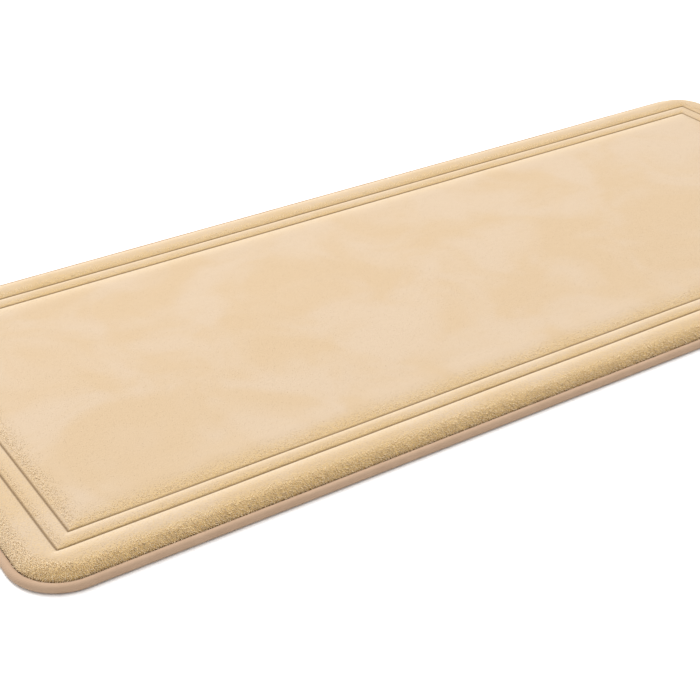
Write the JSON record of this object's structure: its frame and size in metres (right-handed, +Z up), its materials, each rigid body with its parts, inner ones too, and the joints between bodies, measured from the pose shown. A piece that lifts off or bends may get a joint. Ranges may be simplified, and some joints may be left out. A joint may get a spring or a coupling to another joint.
{
  "type": "anti fatigue mat",
  "caption": "Rectangular cushioned standing mat with a quilted plush top, layered foam core, dotted non-slip backing and a piped edge.",
  "frame": {"origin": "centre of the underside, on the floor", "axes": "+X along the mat's length, +Y across its width, +Z up from the floor"},
  "size_m": [1.194, 0.508, 0.0176],
  "materials": {
    "plush_cloth": "short dense pile, matt with a soft sheen",
    "memory_foam": "fine open-cell foam",
    "support_foam": "coarse open-cell foam",
    "backing_cloth": "plain woven, matt",
    "dot_pvc": "soft moulded dots, satin",
    "filler_cord": "loosely twisted",
    "piping_cloth": "smooth brushed knit, matt",
    "quilting_thread": "spun polyester",
    "bobbin_thread": "spun polyester",
    "seam_thread": "spun polyester"
  },
  "bodies": {
    "root": {"top_cover": "plush_cloth", "memory_foam": "memory_foam", "support_foam": "support_foam", "backing_fabric": "backing_cloth", "anti_slip_dots": "dot_pvc", "piping_cord": "filler_cord", "piping_tape": "piping_cloth", "outer_quilting_thread": "quilting_thread", "outer_quilting_bobbin_thread": "bobbin_thread", "inner_quilting_thread": "quilting_thread", "inner_quilting_bobbin_thread": "bobbin_thread", "edge_seam_thread": "seam_thread", "edge_seam_bobbin_thread": "seam_thread"}
  },
  "joints": []
}
